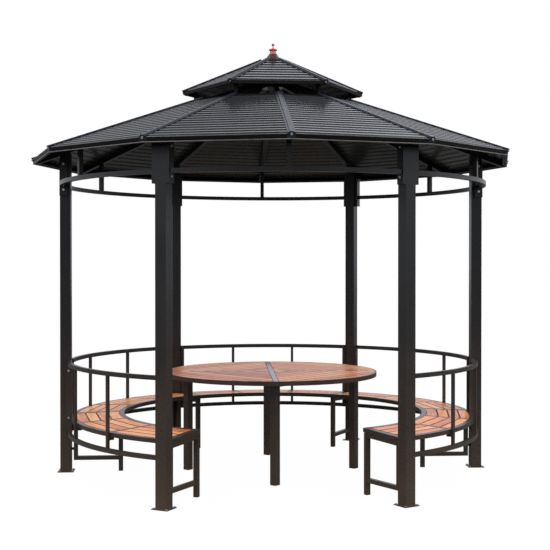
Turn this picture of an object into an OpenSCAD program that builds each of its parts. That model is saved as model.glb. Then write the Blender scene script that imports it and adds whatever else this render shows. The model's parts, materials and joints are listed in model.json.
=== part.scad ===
// Round garden gazebo with a two-tier ribbed roof, five curved benches and a round table.
// Origin at ground level on the centre line, +Z up, the open entrance bay faces -Y.

/* [Posts] */
// Radius of the circle through the post centres
post_r = 1562; // [1400:1:1700]
// Side of a square post
post_w = 80; // [60:1:100]
// Side of the square foot plate
foot_w = 120; // [110:1:150]
// Thickness of the foot plate
foot_t = 5; // [4:1:10]
// Radius of an anchor hole
anchor_r = 5.5; // [4:0.5:6]

/* [Lower roof] */
// Reach of the eave corners beyond the post centres
eave_overhang = 248; // [180:1:300]
// Height of the sheet at the eave
eave_z = 2346; // [2250:1:2500]
// Pitch of the lower panels in degrees
lower_pitch = 20.2; // [15:0.1:25]
// Distance from the centre line to the top edge of a lower panel
vent_r = 600; // [560:1:640]
// Depth of the eave beam, square to the sheet
eave_beam_h = 32; // [26:1:50]
// Thickness of the eave beam
eave_beam_t = 25; // [15:1:35]
// Reach of the drip lip along the eave beam's lower edge
lip_out = 8; // [4:1:12]
// Thickness of the drip lip
lip_h = 6; // [4:1:8]
// Width of a rafter
rafter_w = 40; // [30:1:42]
// Depth of a rafter
rafter_d = 44; // [35:1:60]
// Width of the crown purlins round the vent
crown_w = 30; // [26:1:40]
// Depth of the crown purlins
crown_h = 40; // [30:1:44]
// Distance from the centre line to the faces of the hub where the rafters meet
roof_hub_ap = 92; // [85:1:120]
// Drop of the hub below the rafters
roof_hub_drop = 10; // [5:1:20]

/* [Upper roof] */
// Radius to the corners of the upper roof
upper_r = 682; // [660:1:760]
// Rise from the top of the lower panels to the edge of the upper roof
vent_h = 94; // [80:1:130]
// Pitch of the upper panels in degrees
upper_pitch = 25.2; // [20:0.1:30]
// Height of the edge band
edge_band_h = 18; // [12:1:25]
// Thickness of the edge band
edge_band_t = 15; // [10:1:20]
// Width of an upper rafter
upper_rafter_w = 25; // [20:1:30]
// Depth of an upper rafter
upper_rafter_d = 30; // [20:1:36]
// Side of a vent strut
strut_w = 25; // [18:1:26]
// Corner radius of the peak cap at its foot
cap_foot_r = 61; // [55:1:70]
// Corner radius of the peak cap at its top
cap_top_r = 36; // [34:1:45]
// Height of the peak cap
cap_h = 38; // [25:1:50]

/* [Roof sheet] */
// Thickness of the sheet
sheet_t = 3; // [2:0.5:4]
// Spacing of the ribs up the slope
rib_pitch = 65; // [50:1:90]
// Height of a rib
rib_h = 6; // [4:1:12]
// Width of a rib at its foot
rib_foot = 26; // [20:1:32]
// Width of a rib at its top
rib_top = 14; // [8:1:18]
// Width of a hip cap
hip_cap_w = 50; // [40:1:60]
// Thickness of a hip cap
hip_cap_t = 3; // [2:0.5:5]
// Rise of the ridge along the middle of a hip cap
hip_ridge_h = 4; // [3:1:10]
// Drop of the hip cap's bent tab at the eave
hip_tab_h = 32; // [20:1:32]

/* [Finial] */
// Radius of the base collar
finial_collar_r = 33; // [28:1:33]
// Radius of the waisted body
finial_body_r = 25; // [20:1:27]
// Radius of the bell's rim
finial_bell_r = 32; // [28:1:36]
// Radius of the ball
finial_ball_r = 11; // [8:1:12]

/* [Frieze] */
// Height of the ring rail's centre
frieze_z = 2152; // [2100:1:2180]
// Side of the ring rail and the middle strut
frieze_bar = 30; // [20:1:40]
// Reach of the ring rail's centre beyond the post centres
frieze_out = 17; // [0:1:22]
// Thickness of an end stile
stile_t = 25; // [15:1:30]
// Depth of an end stile
stile_d = 60; // [40:1:70]
// Height of the end stile's foot
stile_z0 = 2073; // [2040:1:2090]
// Height of the end stile's head
stile_z1 = 2340; // [2300:1:2345]

/* [Bench] */
// Height of the seat
seat_z = 452; // [420:1:480]
// Fall of the seat towards its back in degrees
seat_tilt = 2.5; // [0:0.1:5]
// Depth of the seat from front to back
seat_d = 387; // [340:1:420]
// Gap between the seat and a post
seat_gap = 10; // [5:1:20]
// Height of the seat frame
seat_frame_h = 30; // [26:1:40]
// Width of the front band
seat_front_w = 35; // [25:1:45]
// Width of the rear band
seat_rear_w = 32; // [25:1:45]
// Width of a divider between board panels
divider_w = 25; // [15:1:35]
// Width of the ledge that carries the boards
ledge_w = 12; // [8:1:16]
// Thickness of that ledge
ledge_t = 8; // [5:1:10]
// Boards from front to back in a panel
seat_boards_n = 4; // [3:1:5]
// Gap between boards
board_gap = 6; // [2:1:8]
// Gap between a board and the steel around it
board_clear = 1.5; // [1:0.5:4]

/* [Bench supports] */
// Side of the front leg
leg_w = 32; // [25:1:40]
// Set-back of the front leg from the seat's front edge
leg_setback = 12; // [0:1:40]
// Side of the upright, the stretcher and the arm
support_bar = 30; // [25:1:36]
// Height of the stretcher's underside
stretcher_z = 85; // [60:1:150]
// Length of the spacers between upright and post
spacer_l = 17; // [10:1:25]
// Radius of a spacer
spacer_r = 10; // [8:1:12]
// Height of the lower spacer
spacer_low_z = 170; // [150:1:200]
// Height of the upper spacer
spacer_high_z = 365; // [330:1:370]

/* [Backrest] */
// Height of the top rail's centre
back_top_z = 830; // [780:1:900]
// Height of the lower rail's centre
back_low_z = 315; // [290:1:340]
// Height of a rail
rail_h = 30; // [20:1:36]
// Depth of a rail
rail_d = 25; // [20:1:30]
// Reach of the rails inside the posts' inner faces
rail_inset = 9; // [0:1:9]
// Depth of an end stile of the backrest
back_stile_d = 45; // [40:1:60]
// Side of a baluster
baluster_w = 20; // [14:1:22]
// Depth of the bracket from a baluster to the seat frame
bracket_h = 22; // [15:1:30]

/* [Table] */
// Radius of the table top
table_r = 800; // [700:1:850]
// Height of the table top
table_z = 750; // [720:1:780]
// Height of the rim
rim_h = 32; // [28:1:40]
// Thickness of the rim band
rim_t = 6; // [4:1:10]
// Width of the rim's ledge
rim_ledge = 30; // [20:1:40]
// Width of the crossing bars
cross_w = 36; // [25:1:50]
// Boards in a quarter of the table top
table_boards_n = 9; // [6:1:10]
// Side of a table leg
table_leg_w = 50; // [40:1:60]
// Radius from the centre line to a table leg
table_leg_r = 632; // [560:1:680]
// Height of the frame rails
table_rail_h = 25; // [20:1:40]
// Thickness of the frame rails
table_rail_t = 25; // [20:1:40]
// Turn of the free-standing table in degrees
table_turn = -1; // [-5:0.5:5]
// Sideways place of the free-standing table
table_x = -14; // [-30:1:30]

/* [Hidden] */
$fn = 180;
far = 2600;
seat_clear = 0.3;
steel_col = [0.17, 0.15, 0.15];
roof_col = [0.27, 0.24, 0.25];
trim_col = [0.30, 0.31, 0.36];
wood_col = [0.70, 0.40, 0.26];
finial_col = [0.72, 0.20, 0.14];

// Bays and posts, as turns from the entrance bay
post_turns = [30, 90, 150, 210, 270, 330];
corner_turns = [for (i = [0:11]) i * 30];
bay_half = 30;
panel_half = bay_half / 3;

// Posts and what stands beside them
post_in = post_r - post_w / 2;
edge_room = 1;
anchor_at = (foot_w + post_w) / 4 - edge_room;
frieze_r = post_r + frieze_out;

// Lower roof: twelve sides, corners over posts and bay middles
lower_half = 15;
eave_r = post_r + eave_overhang;
eave_ap = eave_r * cos(lower_half);
lower_hip = atan(tan(lower_pitch) * cos(lower_half));
lower_side_fall = tan(lower_pitch) * sin(lower_half);
sheet_v = sheet_t / cos(lower_pitch);
vent_z = eave_z + (eave_ap - vent_r) * tan(lower_pitch);
panel_gap = 3;
mitre_gap = 0.5;
flange_part = 0.6;
ridge_part = 0.45;
strut_r = vent_r - strut_w / 2;

// Upper roof: six sides, corners over the posts
upper_half = 30;
upper_z = vent_z + vent_h;
upper_ap = upper_r * cos(upper_half);
upper_hip = atan(tan(upper_pitch) * cos(upper_half));
upper_side_fall = tan(upper_pitch) * sin(upper_half);
upper_sheet_v = sheet_t / cos(upper_pitch);
cap_foot_ap = cap_foot_r * cos(upper_half);
cap_lap = 1;
upper_top_ap = cap_foot_ap + cap_lap;
cap_z = upper_z + (upper_ap - upper_top_ap) * tan(upper_pitch) - upper_sheet_v;
hub_inset = 3;
hub_r = cap_foot_ap - hub_inset;
hub_h = upper_rafter_d + hub_inset * 4;
weld_lap = 2;

// Bench
seat_out = post_in - seat_gap;
seat_in = seat_out - seat_d;
seat_frame_z = seat_z - seat_frame_h;
board_in = seat_in + seat_front_w + board_clear;
board_out = seat_out - seat_rear_w - board_clear;
leg_r = seat_in + leg_w / 2 + leg_setback;
upright_out = post_in - spacer_l;
arm_z = seat_frame_z - support_bar;
bracket_z = seat_frame_z - seat_drop(seat_out);
upright_z = seat_frame_z - seat_drop(upright_out);
board_sink = 0.6;
weld_step = 1;
bay_gap = 1;

// Backrest
rail_setback = 2.5;
rail_in = post_in - rail_inset;
back_stile_in = rail_in - rail_setback;
rail_r = rail_in + rail_d / 2;

// Table
rim_z = table_z - rim_h;
table_ledge_z = rim_z + ledge_t;
table_board_r = table_r - rim_t - board_clear;

function seat_drop(r) = (r - seat_in) * tan(seat_tilt);
function rafter_top(r) = eave_z - sheet_v - rafter_w / 2 * lower_side_fall + (eave_r - r) * tan(lower_hip);
function rafter_foot(r) = rafter_top(r) - rafter_d;
function upper_rafter_top(r) =
    upper_z - upper_sheet_v - upper_rafter_w / 2 * upper_side_fall + (upper_r - r) * tan(upper_hip);
function upper_rafter_foot(r) = upper_rafter_top(r) - upper_rafter_d;

// Turns a child so that its +X points outwards at a turn from the entrance
module at(turn) rotate([0, 0, turn - 90]) children();

// Box by its radial span, width across and height span
module bar(r0, r1, w, z0, z1) translate([r0, -w / 2, z0]) cube([r1 - r0, w, z1 - z0]);

// Box on one side of a radial plane
module side_bar(r0, r1, y0, y1, z0, z1) translate([r0, y0, z0]) cube([r1 - r0, y1 - y0, z1 - z0]);

// Ring segment of rectangular section, half a turn to each side of +X
module arc_bar(r0, r1, z0, z1, half)
    rotate([0, 0, -half])
        rotate_extrude(angle = 2 * half)
            translate([r0, z0])
                square([r1 - r0, z1 - z0]);

// Sector prism that leaves a gap to both of its radial planes
module sector(half, gap, z0, z1)
    translate([gap / sin(half), 0, z0])
        linear_extrude(z1 - z0)
            polygon([[0, 0], [far, far * tan(half)], [far, -far * tan(half)]]);

// Everything behind the inner face of the eave beam at a turn from +X
module behind_eave(turn)
    rotate([0, 0, turn])
        translate([eave_ap, 0, eave_z])
            rotate([0, lower_pitch, 0])
                translate([-eave_beam_t - far, -far / 2, -far / 2])
                    cube(far);

// Everything below a line of the side elevation
module below_line(za, zb, ra, rb, w)
    rotate([90, 0, 0])
        linear_extrude(w, center = true)
            polygon([[ra, 0], [ra, za], [rb, zb], [rb, 0]]);

// Sloping beam under a hip, by its top and foot lines
// Box beside a radial plane that falls outwards with the seat
module seat_bar(r0, r1, y0, y1, z0, z1)
    translate([0, y1, 0])
        rotate([90, 0, 0])
            linear_extrude(y1 - y0)
                seat_section(r0, r1, z0, z1);

// Ring segment that falls outwards with the seat
module seat_arc(r0, r1, z0, z1, half)
    rotate([0, 0, -half])
        rotate_extrude(angle = 2 * half)
            seat_section(r0, r1, z0, z1);

module seat_section(r0, r1, z0, z1)
    polygon([
        [r0, z0 - seat_drop(r0)], [r1, z0 - seat_drop(r1)],
        [r1, z1 - seat_drop(r1)], [r0, z1 - seat_drop(r0)]
    ]);

module sloping_beam(ra, rb, top_a, top_b, d, w)
    rotate([90, 0, 0])
        linear_extrude(w, center = true)
            polygon([[ra, top_a], [rb, top_b], [rb, top_b - d], [ra, top_a - d]]);

// Section of a ribbed sheet, running up the slope from the eave
function rib_line(n, first, y) = [
    for (i = [0:n - 1])
        let (s = first + i * rib_pitch)
            each [
                [-s + rib_foot / 2, y], [-s + rib_top / 2, y + rib_h],
                [-s - rib_top / 2, y + rib_h], [-s - rib_foot / 2, y]
            ]
];
function reversed(list) = [for (i = [len(list) - 1:-1:0]) list[i]];

module ribbed_panel(half, ap, edge_z, top_ap, pitch, hip_gap) {
    run = (ap - top_ap) / cos(pitch);
    first = rib_pitch / 2;
    n = floor((run - first - rib_foot) / rib_pitch) + 1;
    upper_line = concat([[0, 0]], rib_line(n, first, 0), [[-run, 0]]);
    lower_line = concat([[0, -sheet_t]], rib_line(n, first, -sheet_t), [[-run, -sheet_t]]);
    intersection() {
        translate([ap, 0, edge_z])
            rotate([0, pitch, 0])
                rotate([90, 0, 0])
                    linear_extrude(2 * ap * tan(half) + rib_pitch, center = true)
                        polygon(concat(upper_line, reversed(lower_line)));
        sector(half, hip_gap, edge_z - rib_pitch, edge_z + far);
    }
}

// Folded strip over a hip, with a raised ridge and a tab bent down over the eave corner
module hip_cap(half, corner_r, edge_z, end_r, pitch, hip, side_fall, tab_h) {
    run = (corner_r - end_r) / cos(hip);
    seat_n = (rib_h / cos(pitch) + seat_clear) * cos(hip);
    fall = hip_cap_w / 2 * side_fall * cos(hip);
    nose = hip_cap_t + seat_clear;
    edge = hip_cap_w / 2;
    back = edge * tan(half);
    flange_y = edge * flange_part;
    ridge_y = edge * ridge_part;
    flange_z = seat_n - fall * flange_part + hip_cap_t;
    ridge_z = seat_n + hip_cap_t + hip_ridge_h;
    translate([corner_r, 0, edge_z])
        rotate([0, hip, 0]) {
            translate([nose, 0, 0])
                rotate([0, -90, 0])
                    linear_extrude(run + nose)
                        polygon([
                            [seat_n, 0], [seat_n - fall, edge], [seat_n - fall + hip_cap_t, edge],
                            [flange_z, flange_y], [ridge_z, ridge_y], [ridge_z, -ridge_y],
                            [flange_z, -flange_y], [seat_n - fall + hip_cap_t, -edge], [seat_n - fall, -edge]
                        ]);
            translate([seat_clear, 0, -tab_h])
                linear_extrude(tab_h + seat_n - fall + weld_lap)
                    polygon([
                        [0, 0], [-back, edge], [hip_cap_t - back, edge],
                        [hip_cap_t, 0], [hip_cap_t - back, -edge], [-back, -edge]
                    ]);
        }
}

module post(turn) {
    color(steel_col)
        at(turn) {
            difference() {
                translate([post_r - foot_w / 2, -foot_w / 2, 0])
                    cube([foot_w, foot_w, foot_t]);
                for (x = [-anchor_at, anchor_at])
                    for (y = [-anchor_at, anchor_at])
                        translate([post_r + x, y, -1])
                            cylinder(r = anchor_r, h = foot_t + 2);
            }
            intersection() {
                bar(post_in, post_in + post_w, post_w, foot_t, far);
                below_line(rafter_foot(post_in - 1), rafter_foot(post_in + post_w + 1),
                    post_in - 1, post_in + post_w + 1, post_w + 2);
            }
        }
}

module frieze(turn) {
    end_half = bay_half - atan((post_w + stile_t) / 2 / post_r);
    color(steel_col)
        at(turn) {
            arc_bar(frieze_r - frieze_bar / 2, frieze_r + frieze_bar / 2,
                frieze_z - frieze_bar / 2, frieze_z + frieze_bar / 2, end_half);
            intersection() {
                bar(frieze_r - frieze_bar / 2, frieze_r + frieze_bar / 2, frieze_bar, frieze_z, far);
                below_line(rafter_foot(post_in), rafter_foot(post_in + post_w),
                    post_in, post_in + post_w, post_w);
            }
            for (side = [-1, 1])
                rotate([0, 0, side * bay_half])
                    mirror([0, side > 0 ? 1 : 0, 0])
                        side_bar(post_r + post_w / 2 - stile_d, post_r + post_w / 2,
                            post_w / 2, post_w / 2 + stile_t, stile_z0, stile_z1);
        }
}

module eave_beams() {
    foot = -sheet_t - eave_beam_h;
    color(steel_col)
        for (turn = corner_turns)
            at(turn + lower_half)
                intersection() {
                    translate([eave_ap, 0, eave_z])
                        rotate([0, lower_pitch, 0])
                            rotate([90, 0, 0])
                                linear_extrude(eave_r, center = true)
                                    polygon([
                                        [0, -sheet_t], [-eave_beam_t, -sheet_t], [-eave_beam_t, foot],
                                        [lip_out, foot], [lip_out, foot + lip_h], [0, foot + lip_h]
                                    ]);
                    sector(lower_half, mitre_gap, 0, far);
                }
}

module rafters(turns) {
    color(steel_col)
        for (turn = turns)
            at(turn)
                intersection() {
                    sloping_beam(roof_hub_ap, eave_r, rafter_top(roof_hub_ap), rafter_top(eave_r),
                        rafter_d, rafter_w);
                    behind_eave(lower_half);
                    behind_eave(-lower_half);
                }
}

module post_rafters() rafters(post_turns);

module mid_rafters() rafters([for (t = post_turns) t - bay_half]);

module roof_hub() {
    foot = rafter_foot(roof_hub_ap) - roof_hub_drop;
    color(steel_col)
        rotate([0, 0, lower_half])
            translate([0, 0, foot])
                cylinder(r = roof_hub_ap / cos(lower_half), h = rafter_top(roof_hub_ap) - foot, $fn = 12);
}

module crown_purlins() {
    run = (eave_ap - vent_r) / cos(lower_pitch);
    color(steel_col)
        for (turn = corner_turns)
            at(turn + lower_half)
                intersection() {
                    translate([eave_ap, 0, eave_z])
                        rotate([0, lower_pitch, 0])
                            translate([-run, -vent_r / 2, -sheet_t - crown_h])
                                cube([crown_w, vent_r, crown_h]);
                    sector(lower_half, rafter_w / 2, eave_z, eave_z + far);
                }
}

module lower_roof_panels() {
    color(roof_col)
        for (turn = corner_turns)
            at(turn + lower_half)
                ribbed_panel(lower_half, eave_ap, eave_z, vent_r, lower_pitch, panel_gap);
}

module lower_hip_caps() {
    color(trim_col)
        for (turn = corner_turns)
            at(turn)
                hip_cap(lower_half, eave_r, eave_z, vent_r / cos(lower_half), lower_pitch, lower_hip,
                    lower_side_fall, hip_tab_h);
}

module vent_struts() {
    in_r = strut_r - strut_w;
    out_r = strut_r + strut_w;
    color(steel_col)
        for (turn = post_turns)
            at(turn)
                difference() {
                    intersection() {
                        bar(strut_r - strut_w / 2, strut_r + strut_w / 2, strut_w, eave_z, far + upper_z);
                        below_line(upper_rafter_foot(in_r), upper_rafter_foot(out_r), in_r, out_r, strut_w + 2);
                    }
                    below_line(rafter_top(in_r), rafter_top(out_r), in_r, out_r, strut_w + 2);
                }
}

module upper_frame() {
    band_in_r = (upper_ap - edge_band_t) / cos(upper_half);
    band_z = upper_z - upper_sheet_v - edge_band_h;
    color(steel_col) {
        at(upper_half)
            difference() {
                translate([0, 0, band_z])
                    cylinder(r = upper_r, h = edge_band_h, $fn = 6);
                translate([0, 0, band_z - 1])
                    cylinder(r = band_in_r, h = edge_band_h + 2, $fn = 6);
            }
        for (turn = post_turns)
            at(turn)
                intersection() {
                    sloping_beam(hub_r - weld_lap, upper_r, upper_rafter_top(hub_r - weld_lap),
                        upper_rafter_top(upper_r), upper_rafter_d, upper_rafter_w);
                    cylinder(r = band_in_r + weld_lap, h = cap_z, $fn = 6);
                }
        translate([0, 0, cap_z - hub_h])
            cylinder(r = hub_r, h = hub_h);
    }
}

module upper_roof_panels() {
    color(roof_col)
        for (turn = post_turns)
            at(turn + upper_half)
                ribbed_panel(upper_half, upper_ap, upper_z, upper_top_ap, upper_pitch, panel_gap);
}

module upper_hip_caps() {
    color(trim_col)
        for (turn = post_turns)
            at(turn)
                hip_cap(upper_half, upper_r, upper_z, cap_foot_r + hip_cap_w / 2, upper_pitch, upper_hip,
                    upper_side_fall, edge_band_h);
}

module peak_cap() {
    color(trim_col)
        at(upper_half)
            translate([0, 0, cap_z])
                cylinder(r1 = cap_foot_r, r2 = cap_top_r, h = cap_h, $fn = 6);
}

module finial() {
    collar_h = 10;
    collar_chamfer = 4;
    body_h = 26;
    rim_band = 5;
    bell_h = 24;
    neck_r = 5;
    neck_h = 4;
    bell_z = collar_h + body_h;
    neck_z = bell_z + rim_band + bell_h;
    ball_z = neck_z + neck_h + sqrt(finial_ball_r * finial_ball_r - neck_r * neck_r);
    steps = 12;
    waist = [
        for (i = [0:steps])
            [finial_body_r - 2 * sin(180 * i / steps), collar_h + body_h * i / steps]
    ];
    bell = [
        for (i = [0:steps])
            [
                neck_r + (finial_bell_r - neck_r) * (1 - sin(90 * i / steps)),
                bell_z + rim_band + bell_h * i / steps
            ]
    ];
    color(finial_col)
        translate([0, 0, cap_z + cap_h]) {
            rotate_extrude()
                polygon(concat(
                    [[0, 0], [finial_collar_r, 0]],
                    [[finial_collar_r, collar_h - collar_chamfer]],
                    [[finial_collar_r - collar_chamfer, collar_h]],
                    waist,
                    [[finial_bell_r, bell_z]],
                    bell,
                    [[neck_r, neck_z + neck_h + 1], [0, neck_z + neck_h + 1]]
                ));
            translate([0, 0, ball_z])
                sphere(r = finial_ball_r);
        }
}

module bench_supports() {
    color(steel_col)
        for (turn = post_turns)
            at(turn) {
                bar(leg_r - leg_w / 2, leg_r + leg_w / 2, leg_w, 0, seat_frame_z - seat_drop(leg_r + leg_w / 2));
                seat_bar(leg_r, upright_out, -support_bar / 2, support_bar / 2, arm_z, seat_frame_z);
                bar(leg_r, upright_out, support_bar, stretcher_z, stretcher_z + support_bar);
                bar(upright_out - support_bar, upright_out, support_bar, stretcher_z, upright_z);
                for (z = [spacer_low_z, spacer_high_z])
                    translate([upright_out - weld_lap, 0, z])
                        rotate([0, 90, 0])
                            cylinder(r = spacer_r, h = spacer_l + weld_lap);
            }
}

// Divider with a ledge on one or both sides, beside a radial plane
module divider(y0, y1, ledge_y0, ledge_y1) {
    r0 = seat_in + seat_front_w / 2;
    r1 = seat_out - seat_rear_w / 2;
    seat_bar(r0, r1, y0, y1, seat_frame_z + weld_step, seat_z - weld_step);
    seat_bar(r0, r1, ledge_y0, ledge_y1, seat_frame_z + weld_step, seat_frame_z + ledge_t);
}

// Seat frame of a bay; at an open end it reaches out flush with the support's arm
module seat_frame(turn, open_end = 0) {
    color(steel_col)
        at(turn) {
            intersection() {
                union() {
                    seat_arc(seat_in, seat_in + seat_front_w, seat_frame_z, seat_z, bay_half);
                    seat_arc(seat_out - seat_rear_w, seat_out, seat_frame_z, seat_z, bay_half);
                }
                sector(bay_half, bay_gap, 0, far);
            }
            for (side = [-1, 1]) {
                rotate([0, 0, side * panel_half])
                    divider(-divider_w / 2, divider_w / 2, -divider_w / 2 - ledge_w, divider_w / 2 + ledge_w);
                mirror([0, side > 0 ? 1 : 0, 0])
                    rotate([0, 0, -bay_half]) {
                        divider(bay_gap, bay_gap + divider_w, bay_gap, bay_gap + divider_w + ledge_w);
                        if (side == open_end)
                            seat_bar(seat_in + weld_step, seat_out - weld_step, -support_bar / 2, bay_gap + weld_lap,
                                seat_frame_z + weld_step, seat_z - weld_step);
                    }
            }
        }
}

// Strip of a board panel between two radial edges
module board(r0, r1, half, low_gap, high_gap, z0, z1)
    translate([0, 0, z0])
        linear_extrude(z1 - z0)
            polygon([
                [r0, low_gap / cos(half) - r0 * tan(half)], [r1, low_gap / cos(half) - r1 * tan(half)],
                [r1, r1 * tan(half) - high_gap / cos(half)], [r0, r0 * tan(half) - high_gap / cos(half)]
            ]);

module seat_boards(turn) {
    mid_gap = divider_w / 2 + board_clear;
    end_gap = bay_gap + divider_w + board_clear;
    z0 = seat_frame_z + ledge_t;
    first = board_in * cos(panel_half) - board_gap;
    pitch = (board_out - board_in) / seat_boards_n;
    cuts = [for (i = [1:seat_boards_n - 1]) board_in + i * pitch];
    fronts = concat([first], [for (cut = cuts) cut + board_gap / 2]);
    backs = concat([for (cut = cuts) cut - board_gap / 2], [board_out]);
    color(wood_col)
        at(turn)
            for (panel = [-1, 0, 1])
                rotate([0, 0, panel * 2 * panel_half])
                    translate([seat_in, 0, seat_z - board_sink])
                        rotate([0, seat_tilt, 0])
                            translate([-seat_in, 0, -seat_z])
                                intersection() {
                                    for (i = [0:seat_boards_n - 1])
                                        board(fronts[i], backs[i], panel_half, panel < 0 ? end_gap : mid_gap,
                                            panel > 0 ? end_gap : mid_gap, z0, seat_z);
                                    difference() {
                                        cylinder(r = board_out, h = far);
                                        translate([0, 0, -1])
                                            cylinder(r = board_in, h = far + 2);
                                    }
                                }
}

module backrest(turn) {
    stile_mid = post_w / 2 + stile_t / 2;
    end_half = bay_half - atan(stile_mid / rail_r);
    color(steel_col)
        at(turn) {
            for (z = [back_low_z, back_top_z])
                arc_bar(rail_in, rail_in + rail_d, z - rail_h / 2, z + rail_h / 2, end_half);
            for (side = [-1, 1]) {
                rotate([0, 0, side * panel_half]) {
                    bar(rail_r - baluster_w / 2, rail_r + baluster_w / 2, baluster_w, back_low_z, back_top_z);
                    bar(seat_out - seat_rear_w, rail_r, baluster_w, bracket_z - bracket_h, bracket_z);
                }
                mirror([0, side > 0 ? 1 : 0, 0])
                    rotate([0, 0, -bay_half])
                        side_bar(back_stile_in, back_stile_in + back_stile_d, post_w / 2, post_w / 2 + stile_t,
                            back_low_z - rail_h / 2, back_top_z + rail_h / 2);
            }
        }
}

// Stands a piece of the table in its place
module on_table() translate([table_x, 0, 0]) rotate([0, 0, table_turn]) children();

module table_rim() {
    color(steel_col)
        on_table() rotate_extrude()
            polygon([
                [table_r - rim_ledge, rim_z], [table_r, rim_z], [table_r, table_z], [table_r - rim_t, table_z],
                [table_r - rim_t, table_ledge_z], [table_r - rim_ledge, table_ledge_z]
            ]);
}

module table_cross_bars() {
    long = table_r - rim_t - seat_clear;
    short = table_r - rim_ledge - seat_clear;
    flange = cross_w / 2 + ledge_w;
    color(steel_col)
        on_table() for (turn = [0, 90])
            rotate([0, 0, turn]) {
                intersection() {
                    translate([-table_r, -cross_w / 2, table_ledge_z])
                        cube([2 * table_r, cross_w, table_z - table_ledge_z]);
                    cylinder(r = long, h = far);
                }
                intersection() {
                    translate([-table_r, -flange, rim_z])
                        cube([2 * table_r, 2 * flange, ledge_t]);
                    cylinder(r = short, h = far);
                }
            }
}

module table_boards() {
    quarter_half = 45;
    edge_gap = cross_w / 2 + board_clear;
    start = edge_gap / cos(quarter_half) + board_gap;
    pitch = (table_board_r - start + board_gap) / table_boards_n;
    color(wood_col)
        on_table() for (turn = [45, 135, 225, 315])
            rotate([0, 0, turn])
                intersection() {
                    for (i = [0:table_boards_n - 1])
                        board(start + i * pitch, start + (i + 1) * pitch - board_gap, quarter_half,
                            edge_gap, edge_gap, table_ledge_z, table_z);
                    cylinder(r = table_board_r, h = far);
                }
}

module table_frame() {
    c = table_leg_r / sqrt(2);
    rail_l = 2 * c - table_leg_w;
    color(steel_col)
        on_table() for (turn = [45, 135, 225, 315])
            rotate([0, 0, turn]) {
                translate([c - table_leg_w / 2, c - table_leg_w / 2, 0])
                    cube([table_leg_w, table_leg_w, rim_z]);
                translate([c - table_rail_t / 2, -rail_l / 2 - weld_lap, rim_z - table_rail_h])
                    cube([table_rail_t, rail_l + 2 * weld_lap, table_rail_h]);
            }
}

post(30);  // post_front_right
post(90);  // post_right
post(150);  // post_back_right
post(210);  // post_back_left
post(270);  // post_left
post(330);  // post_front_left
frieze(0);  // frieze_front
frieze(60);  // frieze_front_right
frieze(120);  // frieze_back_right
frieze(180);  // frieze_back
frieze(240);  // frieze_back_left
frieze(300);  // frieze_front_left
eave_beams();
post_rafters();
mid_rafters();
roof_hub();
crown_purlins();
lower_roof_panels();
lower_hip_caps();
vent_struts();
upper_frame();
upper_roof_panels();
upper_hip_caps();
peak_cap();
finial();
bench_supports();
seat_frame(60, -1);  // seat_frame_front_right
seat_frame(120);  // seat_frame_back_right
seat_frame(180);  // seat_frame_back
seat_frame(240);  // seat_frame_back_left
seat_frame(300, 1);  // seat_frame_front_left
seat_boards(60);  // seat_boards_front_right
seat_boards(120);  // seat_boards_back_right
seat_boards(180);  // seat_boards_back
seat_boards(240);  // seat_boards_back_left
seat_boards(300);  // seat_boards_front_left
backrest(60);  // backrest_front_right
backrest(120);  // backrest_back_right
backrest(180);  // backrest_back
backrest(240);  // backrest_back_left
backrest(300);  // backrest_front_left
table_rim();
table_cross_bars();
table_boards();
table_frame();
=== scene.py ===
import json
import math
import random
import bpy
import bmesh
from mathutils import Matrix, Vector


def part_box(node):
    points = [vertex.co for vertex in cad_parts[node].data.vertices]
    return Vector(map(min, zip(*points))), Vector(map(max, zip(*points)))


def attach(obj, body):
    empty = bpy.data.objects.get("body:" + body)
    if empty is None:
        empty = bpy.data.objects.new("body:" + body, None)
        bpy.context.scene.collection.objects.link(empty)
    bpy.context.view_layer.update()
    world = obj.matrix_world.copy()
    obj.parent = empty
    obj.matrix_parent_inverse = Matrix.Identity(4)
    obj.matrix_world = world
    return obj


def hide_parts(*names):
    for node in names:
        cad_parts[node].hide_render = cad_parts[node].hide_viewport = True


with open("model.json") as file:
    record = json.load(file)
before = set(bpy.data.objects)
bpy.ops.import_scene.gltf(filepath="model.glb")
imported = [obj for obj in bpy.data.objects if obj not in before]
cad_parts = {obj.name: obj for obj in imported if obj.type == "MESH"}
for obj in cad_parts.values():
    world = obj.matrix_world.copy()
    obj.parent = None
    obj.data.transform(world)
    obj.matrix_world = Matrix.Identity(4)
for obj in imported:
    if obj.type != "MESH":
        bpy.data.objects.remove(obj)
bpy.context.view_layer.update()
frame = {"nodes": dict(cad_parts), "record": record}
nodes = frame["nodes"]
mounts = {m["name"]: m for m in frame["record"]["mounts"]}
print("frame loaded:", len(nodes), "nodes")

postTurns = {"front_right": 30, "right": 90, "back_right": 150, "back_left": 210, "left": 270, "front_left": 330}
bayTurns = {"front": 0, "front_right": 60, "back_right": 120, "back": 180, "back_left": 240, "front_left": 300}
benchBays = [name for name in bayTurns if name != "front"]
postRadius = Vector(mounts["anchor_right"]["pos_m"]).length
postSide = 0.080


def turned(turn, radius, z, across=0.0):  # point at a turn from the entrance, moved sideways by across
    a = math.radians(turn)
    out = Vector((math.sin(a), -math.cos(a), 0))
    side = Vector((math.cos(a), math.sin(a), 0))
    return out * radius + side * across + Vector((0, 0, z))


def outward(turn, tilt=0.0):  # unit direction at a turn, tilted up by tilt degrees
    a, t = math.radians(turn), math.radians(tilt)
    return Vector((math.sin(a) * math.cos(t), -math.cos(a) * math.cos(t), math.sin(t)))


# Colours and nodes

def paint(hexText, alpha=1.0):  # sRGB hex to linear
    parts = [int(hexText[i:i + 2], 16) / 255 for i in (1, 3, 5)]
    return tuple(c / 12.92 if c <= 0.04045 else ((c + 0.055) / 1.055) ** 2.4 for c in parts) + (alpha,)


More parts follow.
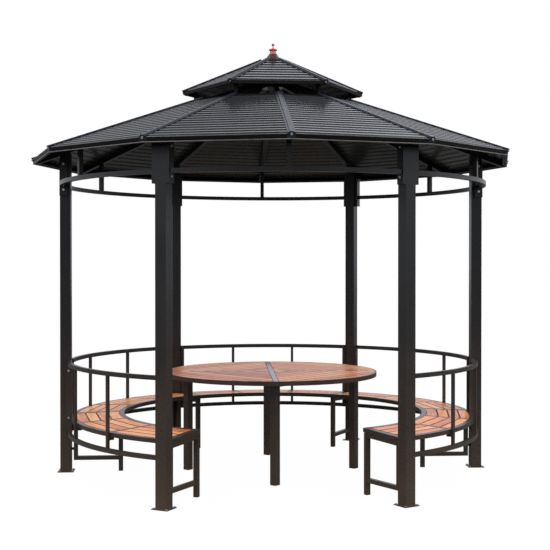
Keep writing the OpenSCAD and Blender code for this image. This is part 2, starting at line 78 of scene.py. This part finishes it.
def addNode(tree, kind, inputs=None, **settings):  # adds a node, sets it up and links its inputs
    made = tree.nodes.new(kind)
    for key, value in settings.items():
        setattr(made, key, value)
    for key, value in (inputs or {}).items():
        if isinstance(value, bpy.types.NodeSocket):
            tree.links.new(value, made.inputs[key])
        else:
            made.inputs[key].default_value = value
    return made


def startMaterial(name):
    material = bpy.data.materials.new(name)
    material.use_nodes = True
    tree = material.node_tree
    shader = tree.nodes["Principled BSDF"]
    return material, tree, shader


def ramp(tree, factor, stops):  # colour ramp from (place, hex) pairs
    made = addNode(tree, "ShaderNodeValToRGB", {0: factor})
    elements = made.color_ramp.elements
    while len(elements) < len(stops):
        elements.new(0.5)
    for element, (place, hexText) in zip(elements, stops):
        element.position = place
        element.color = paint(hexText)
    return made.outputs[0]


def noise(tree, place, mm, detail, **more):  # noise with features about mm across
    wanted = {"Vector": place, "Scale": 1000 / mm, "Detail": detail, **more}
    return addNode(tree, "ShaderNodeTexNoise", wanted).outputs[0]


def spread(tree, value, low, high, start=0.0, end=1.0):  # start to end of a value becomes low to high
    return addNode(tree, "ShaderNodeMapRange", {0: value, 1: start, 2: end, 3: low, 4: high}).outputs[0]


def sums(tree, kind, *values):  # one maths node
    return addNode(tree, "ShaderNodeMath", dict(enumerate(values)), operation=kind).outputs[0]


def blend(tree, share, first, second):  # mix of two shaders
    wanted = {0: share, 1: first.outputs[0], 2: second.outputs[0]}
    return addNode(tree, "ShaderNodeMixShader", wanted)


def connect(tree, shader, colour, rough, height=None, strength=0.0, deep=0.0):
    tree.links.new(colour, shader.inputs["Base Color"])
    tree.links.new(rough, shader.inputs["Roughness"])
    if height is not None:
        bump = addNode(tree, "ShaderNodeBump", {"Height": height, "Strength": strength, "Distance": deep})
        tree.links.new(bump.outputs[0], shader.inputs["Normal"])


coatedSteel = {"dark": "#0d0d0d", "light": "#161616", "patchMm": 260, "peelMm": 9, "rough": 0.28, "bump": 0.04,
               "peelDeep": 0.0008, "shine": 0.5, "sheen": "#f6f7fc", "dust": "#4b3e34", "dustTop": 1.7,
               "dustFade": 1.8}


def makeCoatedSteel(name, look):  # powder coat on steel tube: black satin, faint orange peel, browner and lighter low down: earth dust and painted light bounced up from the ground
    material, tree, shader = startMaterial(name)
    spot = addNode(tree, "ShaderNodeTexCoord").outputs["Object"]
    patch = noise(tree, spot, look["patchMm"], 4.0)
    peel = noise(tree, spot, look["peelMm"], 2.0)
    coat = ramp(tree, patch, [(0.32, look["dark"]), (0.68, look["light"])])
    height = addNode(tree, "ShaderNodeSeparateXYZ", {0: spot}).outputs[2]
    # painted light: the warm, lighter tint low down is earth dust and also stands in for light bounced up from the
    # ground
    low = sums(tree, "POWER", spread(tree, height, 1.0, 0.0, 0.0, look["dustTop"]), look["dustFade"])
    dust = sums(tree, "MULTIPLY", low, spread(tree, patch, 0.75, 1.0, 0.3, 0.7))
    dusty = addNode(tree, "ShaderNodeMix", {0: dust, 6: coat, 7: paint(look["dust"])}, data_type="RGBA")
    rough = spread(tree, peel, look["rough"] - 0.06, look["rough"] + 0.08)
    connect(tree, shader, dusty.outputs[2], rough, peel, look["bump"], look["peelDeep"])
    shader.inputs["Specular IOR Level"].default_value = look["shine"]
    shader.inputs["Specular Tint"].default_value = paint(look["sheen"])
    return material


roofSheet = {"dark": "#141516", "light": "#1f2022", "streakMm": 55, "patchMm": 420, "rough": 0.17, "bump": 0.16,
             "waveDeep": 0.002, "shine": 0.5, "sheen": "#f3f5ff"}


def makeRoofSheet(name, look):  # coil-coated sheet: dark grey, smooth, slightly wavy, faint rain streaks
    material, tree, shader = startMaterial(name)
    spot = addNode(tree, "ShaderNodeTexCoord").outputs["Object"]
    patch = noise(tree, spot, look["patchMm"], 1.0)
    streak = noise(tree, spot, look["streakMm"], 3.0)
    both = sums(tree, "MULTIPLY", sums(tree, "ADD", patch, streak), 0.5)
    colour = ramp(tree, both, [(0.36, look["dark"]), (0.64, look["light"])])
    rough = spread(tree, patch, look["rough"] - 0.04, look["rough"] + 0.05)
    connect(tree, shader, colour, rough, patch, look["bump"], look["waveDeep"])
    shader.inputs["Specular IOR Level"].default_value = look["shine"]
    shader.inputs["Specular Tint"].default_value = paint(look["sheen"])
    return material


hardwood = {"deep": "#b0521f", "mid": "#fb9751", "pale": "#ffc489", "ringMm": 16, "fibreMm": 2.4, "rough": 0.32,
            "gloss": 1.5, "ringShare": 0.62, "fibreShare": 0.25, "shadeShare": 0.30, "ringPull": 0.09,
            "fibrePull": 0.03, "bump": 0.18, "grainDeep": 0.0012}


def makeHardwood(name, look):  # oiled reddish hardwood: long grain along the board, shade differs board to board
    material, tree, shader = startMaterial(name)
    lay = addNode(tree, "ShaderNodeUVMap", uv_map="grain").outputs[0]
    shade = addNode(tree, "ShaderNodeAttribute", attribute_name="boardShade").outputs["Fac"]
    shift = addNode(tree, "ShaderNodeCombineXYZ", {0: shade, 1: shade, 2: shade}).outputs[0]
    far = addNode(tree, "ShaderNodeVectorMath", {0: shift, 1: (37.0, 11.0, 5.0)}, operation="MULTIPLY").outputs[0]
    place = addNode(tree, "ShaderNodeVectorMath", {0: lay, 1: far}, operation="ADD").outputs[0]
    wide = addNode(tree, "ShaderNodeMapping", {"Vector": place, "Scale": (look["ringPull"], 1.0, 1.0)}).outputs[0]
    thin = addNode(tree, "ShaderNodeMapping", {"Vector": place, "Scale": (look["fibrePull"], 1.0, 1.0)}).outputs[0]
    ring = noise(tree, wide, look["ringMm"], 3.0, Distortion=0.6)
    fibre = noise(tree, thin, look["fibreMm"], 2.0)
    grain = sums(tree, "MULTIPLY", ring, look["ringShare"])
    grain = sums(tree, "MULTIPLY_ADD", fibre, look["fibreShare"], grain)
    grain = sums(tree, "MULTIPLY_ADD", shade, look["shadeShare"], grain)
    colour = ramp(tree, grain, [(0.34, look["deep"]), (0.58, look["mid"]), (0.82, look["pale"])])
    rough = spread(tree, fibre, look["rough"] - 0.06, look["rough"] + 0.12)
    connect(tree, shader, colour, rough, grain, look["bump"], look["grainDeep"])
    shader.inputs["IOR"].default_value = look["gloss"]
    return material


# painted shade and highlight: the dark red bands at the bell's downward rim stand in for shade, the pale pink bands
# for highlights
enamel = {"bandsWithShadeAndHighlight": [(0.0, "#5d4740"), (0.09, "#5d4740"), (0.12, "#d06a5c"), (0.33, "#c85c4e"), (0.38, "#7f231b"),
                    (0.46, "#8e2c22"), (0.52, "#d57b6d"), (0.76, "#dc9084"), (0.79, "#75777a")],
          "patchMm": 45, "rough": 0.22}


def makeEnamel(name, look):  # red enamel on turned metal, clear gloss: brown collar, bare grey ball, a darker band at the bell's rim that is painted shade, lighter pink bands that are painted highlight
    material, tree, shader = startMaterial(name)
    spot = addNode(tree, "ShaderNodeTexCoord").outputs["Object"]
    patch = noise(tree, spot, look["patchMm"], 3.0)
    height = addNode(tree, "ShaderNodeSeparateXYZ", {0: spot}).outputs[2]
    foot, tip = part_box("finial")
    colour = ramp(tree, spread(tree, height, 0.0, 1.0, foot.z, tip.z), look["bandsWithShadeAndHighlight"])
    connect(tree, shader, colour, spread(tree, patch, look["rough"] - 0.05, look["rough"] + 0.08))
    return material


zinc = {"dark": "#c6c8ca", "light": "#f0f1f2", "patchMm": 6, "rough": 0.28}


def makeZinc(name, look):  # zinc-plated bolt heads: bright grey metal with a dull spangle
    material, tree, shader = startMaterial(name)
    spot = addNode(tree, "ShaderNodeTexCoord").outputs["Object"]
    patch = noise(tree, spot, look["patchMm"], 2.0)
    colour = ramp(tree, patch, [(0.3, look["dark"]), (0.7, look["light"])])
    connect(tree, shader, colour, spread(tree, patch, look["rough"] - 0.06, look["rough"] + 0.14))
    shader.inputs["Metallic"].default_value = 1.0
    return material


def steelLike(name, **changes):
    return makeCoatedSteel(name, dict(coatedSteel, **changes))


def sheetLike(name, **changes):
    return makeRoofSheet(name, dict(roofSheet, **changes))


def woodLike(name, **changes):
    return makeHardwood(name, dict(hardwood, **changes))


frameCoat = steelLike("powderCoatedSteel")  # posts, rails and benches: black satin, browner and lighter near the ground from dust and painted ground-bounce light
shadedEaveCoat = steelLike("paintedShadeEaveCoat", dark="#0b0b0b", light="#121212", rough=0.45, shine=0.2)  # painted shade: a darker, duller copy of the frame coat for the eave band, which faces down into shade
shadeBlack = steelLike("paintedShadeBlack", dark="#0b0b0c", light="#131314", rough=0.6, shine=0.16)  # painted shade: near black for the vent parts and upper hem, which sit in deep shade
foamBlack = steelLike("blackFoamFiller", dark="#0d0d0d", light="#161515", rough=0.8, shine=0.1)  # dull dark line
rimCoat = steelLike("brownRimCoat", dark="#2a201b", light="#3c2f28", dust="#3c2f28")  # lighter, browner coat on the table rim
roofCoat = sheetLike("coilCoatedRoofSheet")  # grey sheen between the ribs
bounceBackCoat = sheetLike("backCoatPaintedBounce", dark="#27312f", light="#354140", rough=0.25, shine=0.36)  # painted light: the sheet's back, lighter and greener than the top to stand in for light bounced up onto the ceiling
trimCoat = sheetLike("coilCoatedHipTrim", dark="#1a1d24", light="#262a33", rough=0.35, shine=0.15, sheen="#dde7ff")
hubCoat = sheetLike("glossCoatedHub", rough=0.08)  # bright glint inside the vent
# painted highlight: light grey on the drip bead and lower sheet hem stands in for the bright line where they catch
# the light
highlightEdge = sheetLike("paintedHighlightEdge", dark="#4c4c49", light="#656462", rough=0.34, sheen="#ffffff")
peakCoat = sheetLike("coatedPeakCap", dark="#2b2a28", light="#3a3936", rough=0.34)  # warm grey cap
# painted reflection: the cross strip is the frame's dark coat, made light grey to stand in for the sky it reflects at
# a grazing angle
sheenStripCoat = sheetLike("paintedSheenCrossStrip", dark="#4a4546", light="#5c5657", rough=0.12, shine=0.6, sheen="#ffffff")
boardWood = woodLike("oiledHardwood")  # warm orange-red seats
# painted shade: the table boards get a darker copy of the seat wood, standing in for the shade under the middle of
# the roof
shadedTableWood = woodLike("shadedTableHardwood", deep="#96441b", mid="#ea8141", pale="#feb776", rough=0.30)
edgeWood = woodLike("soiledBoardEdge", deep="#3a1c0d", mid="#5a2d15", pale="#74401f", rough=0.5)  # dark joints
finialRed = makeEnamel("redEnamel", enamel)
boltZinc = makeZinc("zincPlatedSteel", zinc)
print("materials made")


def dress(node, material):
    node.data.materials.clear()
    node.data.materials.append(material)


finishes = {"roof_steel": roofCoat, "hip_trim": trimCoat, "timber": boardWood, "finial": finialRed}
for part in frame["record"]["subparts"]:
    dress(nodes[part["node"]], finishes.get(part["material_slot"], frameCoat))
dress(nodes["roof_hub"], hubCoat)  # mirrors the light that comes in at the vent
dress(nodes["eave_beams"], shadedEaveCoat)
dress(nodes["peak_cap"], peakCoat)
dress(nodes["table_rim"], rimCoat)
dress(nodes["table_cross_bars"], sheenStripCoat)
# painted shade: the upper frame and vent struts are made near black to stand in for the shade inside the vent
for name in ("upper_frame", "vent_struts"):
    dress(nodes[name], shadeBlack)
for name in ("lower_roof_panels", "upper_roof_panels"):  # coated sheet is dull on its back, and its back colour carries painted bounce light
    mesh = nodes[name].data
    mesh.materials.append(bounceBackCoat)
    for face in mesh.polygons:
        face.material_index = 1 if face.normal.z < -0.1 else 0


# Timber boards: the CAD boards with eased edges, grain along each board and a shade of its own

boards = {"ease": 0.003, "steps": 2, "seed": 7}


def islands(mesh):  # groups of vertices that hang together
    links = {v.index: [] for v in mesh.vertices}
    for edge in mesh.edges:
        a, b = edge.vertices
        links[a].append(b)
        links[b].append(a)
    seen, groups = set(), []
    for start in links:
        if start in seen:
            continue
        group, todo = [], [start]
        seen.add(start)
        while todo:
            here = todo.pop()
            group.append(here)
            for other in links[here]:
                if other not in seen:
                    seen.add(other)
                    todo.append(other)
        groups.append(group)
    return groups


def plainCopy(source, name):  # merged copy of a CAD node's mesh, with its flat faces whole again
    work = bmesh.new()
    work.from_mesh(source.data)
    bmesh.ops.remove_doubles(work, verts=work.verts, dist=0.00002)
    bmesh.ops.dissolve_limit(work, angle_limit=math.radians(0.5), verts=work.verts, edges=work.edges)
    mesh = bpy.data.meshes.new(name)
    work.to_mesh(mesh)
    work.free()
    piece = bpy.data.objects.new(name, mesh)
    bpy.context.scene.collection.objects.link(piece)
    return piece


def settle(piece):  # turns a piece with modifiers into a plain mesh
    mesh = bpy.data.meshes.new_from_object(piece.evaluated_get(bpy.context.evaluated_depsgraph_get()))
    piece.modifiers.clear()
    piece.data = mesh


def easedBoards(nodeName, pieceName, rng, wood):
    piece = plainCopy(nodes[nodeName], pieceName)
    ease = piece.modifiers.new("ease", "BEVEL")
    ease.width = boards["ease"]
    ease.segments = boards["steps"]
    ease.limit_method = "ANGLE"
    ease.angle_limit = math.radians(35)
    dress(piece, wood)
    piece.data.materials.append(edgeWood)  # the eased edges gather dirt
    ease.material = 1
    settle(piece)
    mesh = piece.data
    shade = mesh.attributes.new("boardShade", "FLOAT", "POINT")
    grain = {}
    for group in islands(mesh):
        spots = [mesh.vertices[i].co for i in group]
        middle = sum(spots, Vector()) / len(spots)
        xx = sum((p.x - middle.x) ** 2 for p in spots)
        yy = sum((p.y - middle.y) ** 2 for p in spots)
        xy = sum((p.x - middle.x) * (p.y - middle.y) for p in spots)
        a = 0.5 * math.atan2(2 * xy, xx - yy)
        along = Vector((math.cos(a), math.sin(a), 0))
        across = Vector((-math.sin(a), math.cos(a), 0))
        tone = rng.random()
        for i in group:
            shade.data[i].value = tone
            p = mesh.vertices[i].co - middle
            grain[i] = (p.dot(along), p.dot(across) + p.z)
    layer = mesh.uv_layers.new(name="grain")
    for loop in mesh.loops:
        layer.data[loop.index].uv = grain[loop.vertex_index]
    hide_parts(nodeName)
    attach(piece, "root")


rng = random.Random(boards["seed"])
for bay in benchBays:
    easedBoards("seat_boards_" + bay, "seatBoards_" + bay, rng, boardWood)
easedBoards("table_boards", "tableBoards", rng, shadedTableWood)
print("boards eased")


# Bolts: one Geometry Nodes tree sets a hex head on a washer at every point, facing along its attribute

def boltTree():
    tree = bpy.data.node_groups.new("boltHeads", "GeometryNodeTree")
    tree.interface.new_socket("Geometry", in_out="INPUT", socket_type="NodeSocketGeometry")
    for label in ("Head radius", "Head height", "Washer radius", "Washer height"):
        tree.interface.new_socket(label, in_out="INPUT", socket_type="NodeSocketFloat")
    tree.interface.new_socket("Finish", in_out="INPUT", socket_type="NodeSocketMaterial")
    tree.interface.new_socket("Geometry", in_out="OUTPUT", socket_type="NodeSocketGeometry")
    given = addNode(tree, "NodeGroupInput").outputs
    head = addNode(tree, "GeometryNodeMeshCylinder", {"Vertices": 6, "Radius": given["Head radius"],
                                                      "Depth": given["Head height"]})
    washer = addNode(tree, "GeometryNodeMeshCylinder", {"Vertices": 16, "Radius": given["Washer radius"],
                                                        "Depth": given["Washer height"]})
    lift = sums(tree, "ADD", sums(tree, "MULTIPLY", given["Head height"], 0.5), given["Washer height"])
    up = addNode(tree, "ShaderNodeCombineXYZ", {2: lift}).outputs[0]
    lowUp = addNode(tree, "ShaderNodeCombineXYZ", {2: sums(tree, "MULTIPLY", given["Washer height"], 0.5)}).outputs[0]
    headUp = addNode(tree, "GeometryNodeTransform", {"Geometry": head.outputs[0], "Translation": up})
    washerUp = addNode(tree, "GeometryNodeTransform", {"Geometry": washer.outputs[0], "Translation": lowUp})
    bolt = addNode(tree, "GeometryNodeJoinGeometry")
    tree.links.new(headUp.outputs[0], bolt.inputs[0])
    tree.links.new(washerUp.outputs[0], bolt.inputs[0])
    facing = addNode(tree, "GeometryNodeInputNamedAttribute", {"Name": "facing"}, data_type="FLOAT_VECTOR")
    turn = addNode(tree, "FunctionNodeAlignRotationToVector", {"Vector": facing.outputs[0]}, axis="Z")
    wanted = {"Points": given["Geometry"], "Instance": bolt.outputs[0], "Rotation": turn.outputs[0]}
    placed = addNode(tree, "GeometryNodeInstanceOnPoints", wanted)
    real = addNode(tree, "GeometryNodeRealizeInstances", {"Geometry": placed.outputs[0]})
    coated = addNode(tree, "GeometryNodeSetMaterial", {"Geometry": real.outputs[0], "Material": given["Finish"]})
    addNode(tree, "NodeGroupOutput", {"Geometry": coated.outputs[0]})
    return tree


boltHeads = boltTree()


def setBolts(name, places, size, finish):  # places are (point, facing) pairs
    mesh = bpy.data.meshes.new(name)
    mesh.from_pydata([p for p, _ in places], [], [])
    facing = mesh.attributes.new("facing", "FLOAT_VECTOR", "POINT")
    for item, (_, out) in zip(facing.data, places):
        item.vector = out
    piece = bpy.data.objects.new(name, mesh)
    bpy.context.scene.collection.objects.link(piece)
    grow = piece.modifiers.new("bolts", "NODES")
    grow.node_group = boltHeads
    wanted = {"Head radius": size[0], "Head height": size[1], "Washer radius": size[2], "Washer height": size[3],
              "Finish": finish}
    for item in boltHeads.interface.items_tree:
        if item.in_out == "INPUT" and item.name in wanted:
            grow[item.identifier] = wanted[item.name]
    settle(piece)
    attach(piece, "root")


m8 = (0.0068, 0.005, 0.0085, 0.0016)
m6 = (0.005, 0.004, 0.0065, 0.0012)

# Roof lines, read from the panels

lowerRoof = {"node": "lower_roof_panels", "turns": [30 * i for i in range(12)], "half": 15, "pitch": 20.2,
             "topR": 0.62}
upperRoof = {"node": "upper_roof_panels", "turns": [30 + 60 * i for i in range(6)], "half": 30, "pitch": 25.2,
             "topR": 0.09}
sheet = {"thick": 0.003, "rib": 0.006, "capThick": 0.0033}


def hipLine(roof):  # corner radius, height of the sheet at the corner, slope of the hip, fall to its sides
    low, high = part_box(roof["node"])
    rise = math.tan(math.radians(roof["pitch"]))
    return {"r": high.x, "z": low.z + sheet["thick"] * math.cos(math.radians(roof["pitch"])),
            "hip": math.atan(rise * math.cos(math.radians(roof["half"]))),
            "fall": rise * math.sin(math.radians(roof["half"]))}


def capBolts(name, roof, size, drop):  # one bolt through the bent tab of each hip cap
    line = hipLine(roof)
    out = sheet["capThick"]
    r = line["r"] + out * math.cos(line["hip"]) - drop * math.sin(line["hip"])
    z = line["z"] - out * math.sin(line["hip"]) - drop * math.cos(line["hip"])
    places = [(turned(t, r, z), outward(t, -math.degrees(line["hip"]))) for t in roof["turns"]]
    setBolts(name, places, size, boltZinc)


capBolts("lowerCapBolts", lowerRoof, m8, 0.004)
capBolts("upperCapBolts", upperRoof, m6, 0.007)

bead = {"lipOut": 0.008, "lipDown": 0.032, "lipRadius": 0.0038, "hemRadius": 0.0028, "sides": 8}


def edgeBead(name, roof, out, down, radius, material):  # rolled bead along the eave, set square to the sheet
    line = hipLine(roof)
    pitch, half = math.radians(roof["pitch"]), math.radians(roof["half"])
    ap = line["r"] * math.cos(half) + out * math.cos(pitch) - down * math.sin(pitch)
    z = line["z"] - out * math.sin(pitch) - down * math.cos(pitch)
    points, faces, n = [], [], bead["sides"]
    for turn in roof["turns"]:
        for i in range(n):
            a = 2 * math.pi * i / n
            points.append(turned(turn, (ap + radius * math.cos(a)) / math.cos(half), z + radius * math.sin(a)))
    total = len(points)
    for start in range(0, total, n):
        for i in range(n):
            j = (i + 1) % n
            faces.append([start + i, (start + n + i) % total, (start + n + j) % total, start + j])
    mesh = bpy.data.meshes.new(name)
    mesh.from_pydata(points, [], faces)
    mesh.polygons.foreach_set("use_smooth", [True] * len(faces))
    piece = bpy.data.objects.new(name, mesh)
    bpy.context.scene.collection.objects.link(piece)
    dress(piece, material)
    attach(piece, "root")


edgeBead("lowerDripBead", lowerRoof, bead["lipOut"], bead["lipDown"], bead["lipRadius"], highlightEdge)
edgeBead("lowerSheetHem", lowerRoof, 0.0, sheet["thick"] / 2, bead["hemRadius"], highlightEdge)
# painted shade: the upper hem is near black, standing in for its shade
edgeBead("upperSheetHem", upperRoof, 0.0, sheet["thick"] / 2, bead["hemRadius"], shadeBlack)

filler = {"across": 0.0246, "thick": 0.008, "setBack": 0.004}


def makeFillers(name, roof):  # foam strips that close the rib ends under both edges of the hip caps
    line = hipLine(roof)
    points, faces = [], []
    for turn in roof["turns"]:
        for side in (-1, 1):
            first = len(points)
            for r in (line["r"] - filler["setBack"], roof["topR"]):
                for y in (filler["across"] - filler["thick"], filler["across"]):
                    z = line["z"] + (line["r"] - r) * math.tan(line["hip"]) - y * line["fall"]
                    points.append(turned(turn, r, z, side * y))
                    points.append(turned(turn, r, z + sheet["rib"], side * y))
            for quad in ((0, 1, 5, 4), (2, 6, 7, 3), (1, 3, 7, 5), (0, 4, 6, 2), (0, 2, 3, 1), (4, 5, 7, 6)):
                faces.append([first + i for i in quad])
    mesh = bpy.data.meshes.new(name)
    mesh.from_pydata(points, [], faces)
    piece = bpy.data.objects.new(name, mesh)
    bpy.context.scene.collection.objects.link(piece)
    dress(piece, foamBlack)
    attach(piece, "root")


makeFillers("lowerHipFillers", lowerRoof)
makeFillers("upperHipFillers", upperRoof)

stile = {"wide": 0.025, "friezeZs": (2.118, 2.310), "friezeOut": 0.010, "backZs": (0.411, 0.764), "backOut": -0.025}
stileInner = postSide / 2 + stile["wide"]
friezeBolts, backBolts = [], []
for bay, turn in bayTurns.items():
    for side in (-1, 1):
        postTurn = turn + side * 30
        facing = outward(postTurn - side * 90)
        for z in stile["friezeZs"]:
            friezeBolts.append((turned(postTurn, postRadius + stile["friezeOut"], z, -side * stileInner), facing))
        if bay in benchBays:
            for z in stile["backZs"]:
                backBolts.append((turned(postTurn, postRadius + stile["backOut"], z, -side * stileInner), facing))
setBolts("friezeBolts", friezeBolts, m8, boltZinc)
setBolts("backrestBolts", backBolts, m8, boltZinc)

footTop = 0.005
anchorAt = mounts["anchor_right"]["dims"]["pcd_mm"] / 2000 / math.sqrt(2)
anchors = [(turned(turn, postRadius + dx * anchorAt, footTop, dy * anchorAt), Vector((0, 0, 1)))
           for turn in postTurns.values() for dx in (-1, 1) for dy in (-1, 1)]
setBolts("anchorBolts", anchors, m8, boltZinc)
print("bolts set")


# Floor, light and camera

stageLook = {"reach": 60.0, "ground": 0.10, "seenGlow": 0.98}


def makeFloor(look):  # white to the camera with faint shadows, dull to the light that bounces
    mesh = bpy.data.meshes.new("floor")
    r = look["reach"]
    mesh.from_pydata([(-r, -r, 0), (r, -r, 0), (r, r, 0), (-r, r, 0)], [], [(0, 1, 2, 3)])
    floor = bpy.data.objects.new("floor", mesh)
    bpy.context.scene.collection.objects.link(floor)
    material = bpy.data.materials.new("paleFloor")
    material.use_nodes = True
    tree = material.node_tree
    g = look["ground"]
    path = addNode(tree, "ShaderNodeLightPath").outputs
    dull = addNode(tree, "ShaderNodeBsdfDiffuse", {"Color": (g, g, g, 1)})
    pale = addNode(tree, "ShaderNodeBsdfDiffuse", {"Color": (0.9, 0.9, 0.9, 1)})
    glow = addNode(tree, "ShaderNodeEmission", {"Strength": 1.0})
    both = blend(tree, path["Is Camera Ray"], dull, blend(tree, look["seenGlow"], pale, glow))
    tree.links.new(both.outputs[0], tree.nodes["Material Output"].inputs[0])
    mesh.materials.append(material)


makeFloor(stageLook)

skyLook = {"diffuse": 1.45, "left": 0.80, "right": 0.98, "tint": "#f4f7ff",
           "patches": [((0.24, 0.84, 0.48), 1.6, 80.0), ((0.06, 0.77, 0.63), 2.2, 200.0)],
           "front": 0.86, "frontHigh": 0.1, "backLow": 0.8}


def makeSky(look):  # white backdrop, soft even light, reflections dim high in front, with bright patches behind
    world = bpy.data.worlds.new("studio")
    bpy.context.scene.world = world
    world.use_nodes = True
    tree = world.node_tree
    path = addNode(tree, "ShaderNodeLightPath").outputs
    around = addNode(tree, "ShaderNodeTexCoord").outputs["Generated"]
    x, y, z = addNode(tree, "ShaderNodeSeparateXYZ", {0: around}).outputs
    high = spread(tree, z, look["front"], look["frontHigh"], 0.0, 0.2)
    front = spread(tree, y, high, 1.0, -0.9, 0.1)
    low = spread(tree, z, look["backLow"], 1.0, 0.1, 0.4)
    back = spread(tree, y, 1.0, low, 0.1, 0.6)
    side = spread(tree, x, look["left"], look["right"], -0.8, 0.8)
    level = sums(tree, "MULTIPLY", side, sums(tree, "MULTIPLY", front, back))
    for aim, strength, power in look["patches"]:  # soft bright patches for the front of both roofs
        near = addNode(tree, "ShaderNodeVectorMath", {0: around, 1: aim}, operation="DOT_PRODUCT").outputs["Value"]
        lobe = sums(tree, "POWER", sums(tree, "MAXIMUM", near, 0.0), power)
        level = sums(tree, "MULTIPLY_ADD", lobe, strength, level)
    plain = addNode(tree, "ShaderNodeBackground", {"Color": (1, 1, 1, 1), "Strength": 1.0})
    soft = addNode(tree, "ShaderNodeBackground", {"Color": (1, 1, 1, 1), "Strength": look["diffuse"]})
    sheen = addNode(tree, "ShaderNodeBackground", {"Color": paint(look["tint"]), "Strength": level})
    whole = blend(tree, path["Is Camera Ray"], blend(tree, path["Is Glossy Ray"], soft, sheen), plain)
    tree.links.new(whole.outputs[0], tree.nodes["World Output"].inputs[0])


makeSky(skyLook)

lamps = [
    {"name": "keyRight", "spot": (5.2, -5.8, 6.8), "size": 4.0, "watts": 190},
    {"name": "fillLeft", "spot": (-5.6, -4.6, 6.0), "size": 5.0, "watts": 110},
]
for lamp in lamps:
    light = bpy.data.lights.new(lamp["name"], "AREA")
    light.size = lamp["size"]
    light.energy = lamp["watts"]
    thing = bpy.data.objects.new(lamp["name"], light)
    bpy.context.scene.collection.objects.link(thing)
    thing.location = lamp["spot"]
    aim = Vector((0, 0, 1.0)) - Vector(lamp["spot"])
    thing.rotation_euler = aim.to_track_quat("-Z", "Y").to_euler()

shot = {"turn": -3.57, "distance": 8.49, "height": 1.5585, "focalPx": 1114.0, "framePx": 550,
        "axisPx": 273.0, "horizonPx": 264.5}


def makeCamera(shot):
    lens = bpy.data.cameras.new("camera")
    camera = bpy.data.objects.new("camera", lens)
    bpy.context.scene.collection.objects.link(camera)
    lens.sensor_width = 36.0
    lens.lens = lens.sensor_width * shot["focalPx"] / shot["framePx"]
    middle = shot["framePx"] / 2
    down = math.degrees(math.atan((middle - shot["horizonPx"]) / shot["focalPx"]))
    aside = math.degrees(math.atan((middle - shot["axisPx"]) / shot["focalPx"]))
    camera.location = turned(shot["turn"], shot["distance"], shot["height"])
    camera.rotation_euler = (math.radians(90 - down), 0, math.radians(shot["turn"] - aside))
    bpy.context.scene.camera = camera


makeCamera(shot)
bpy.context.scene.view_settings.view_transform = "Standard"
print("stage and camera set")
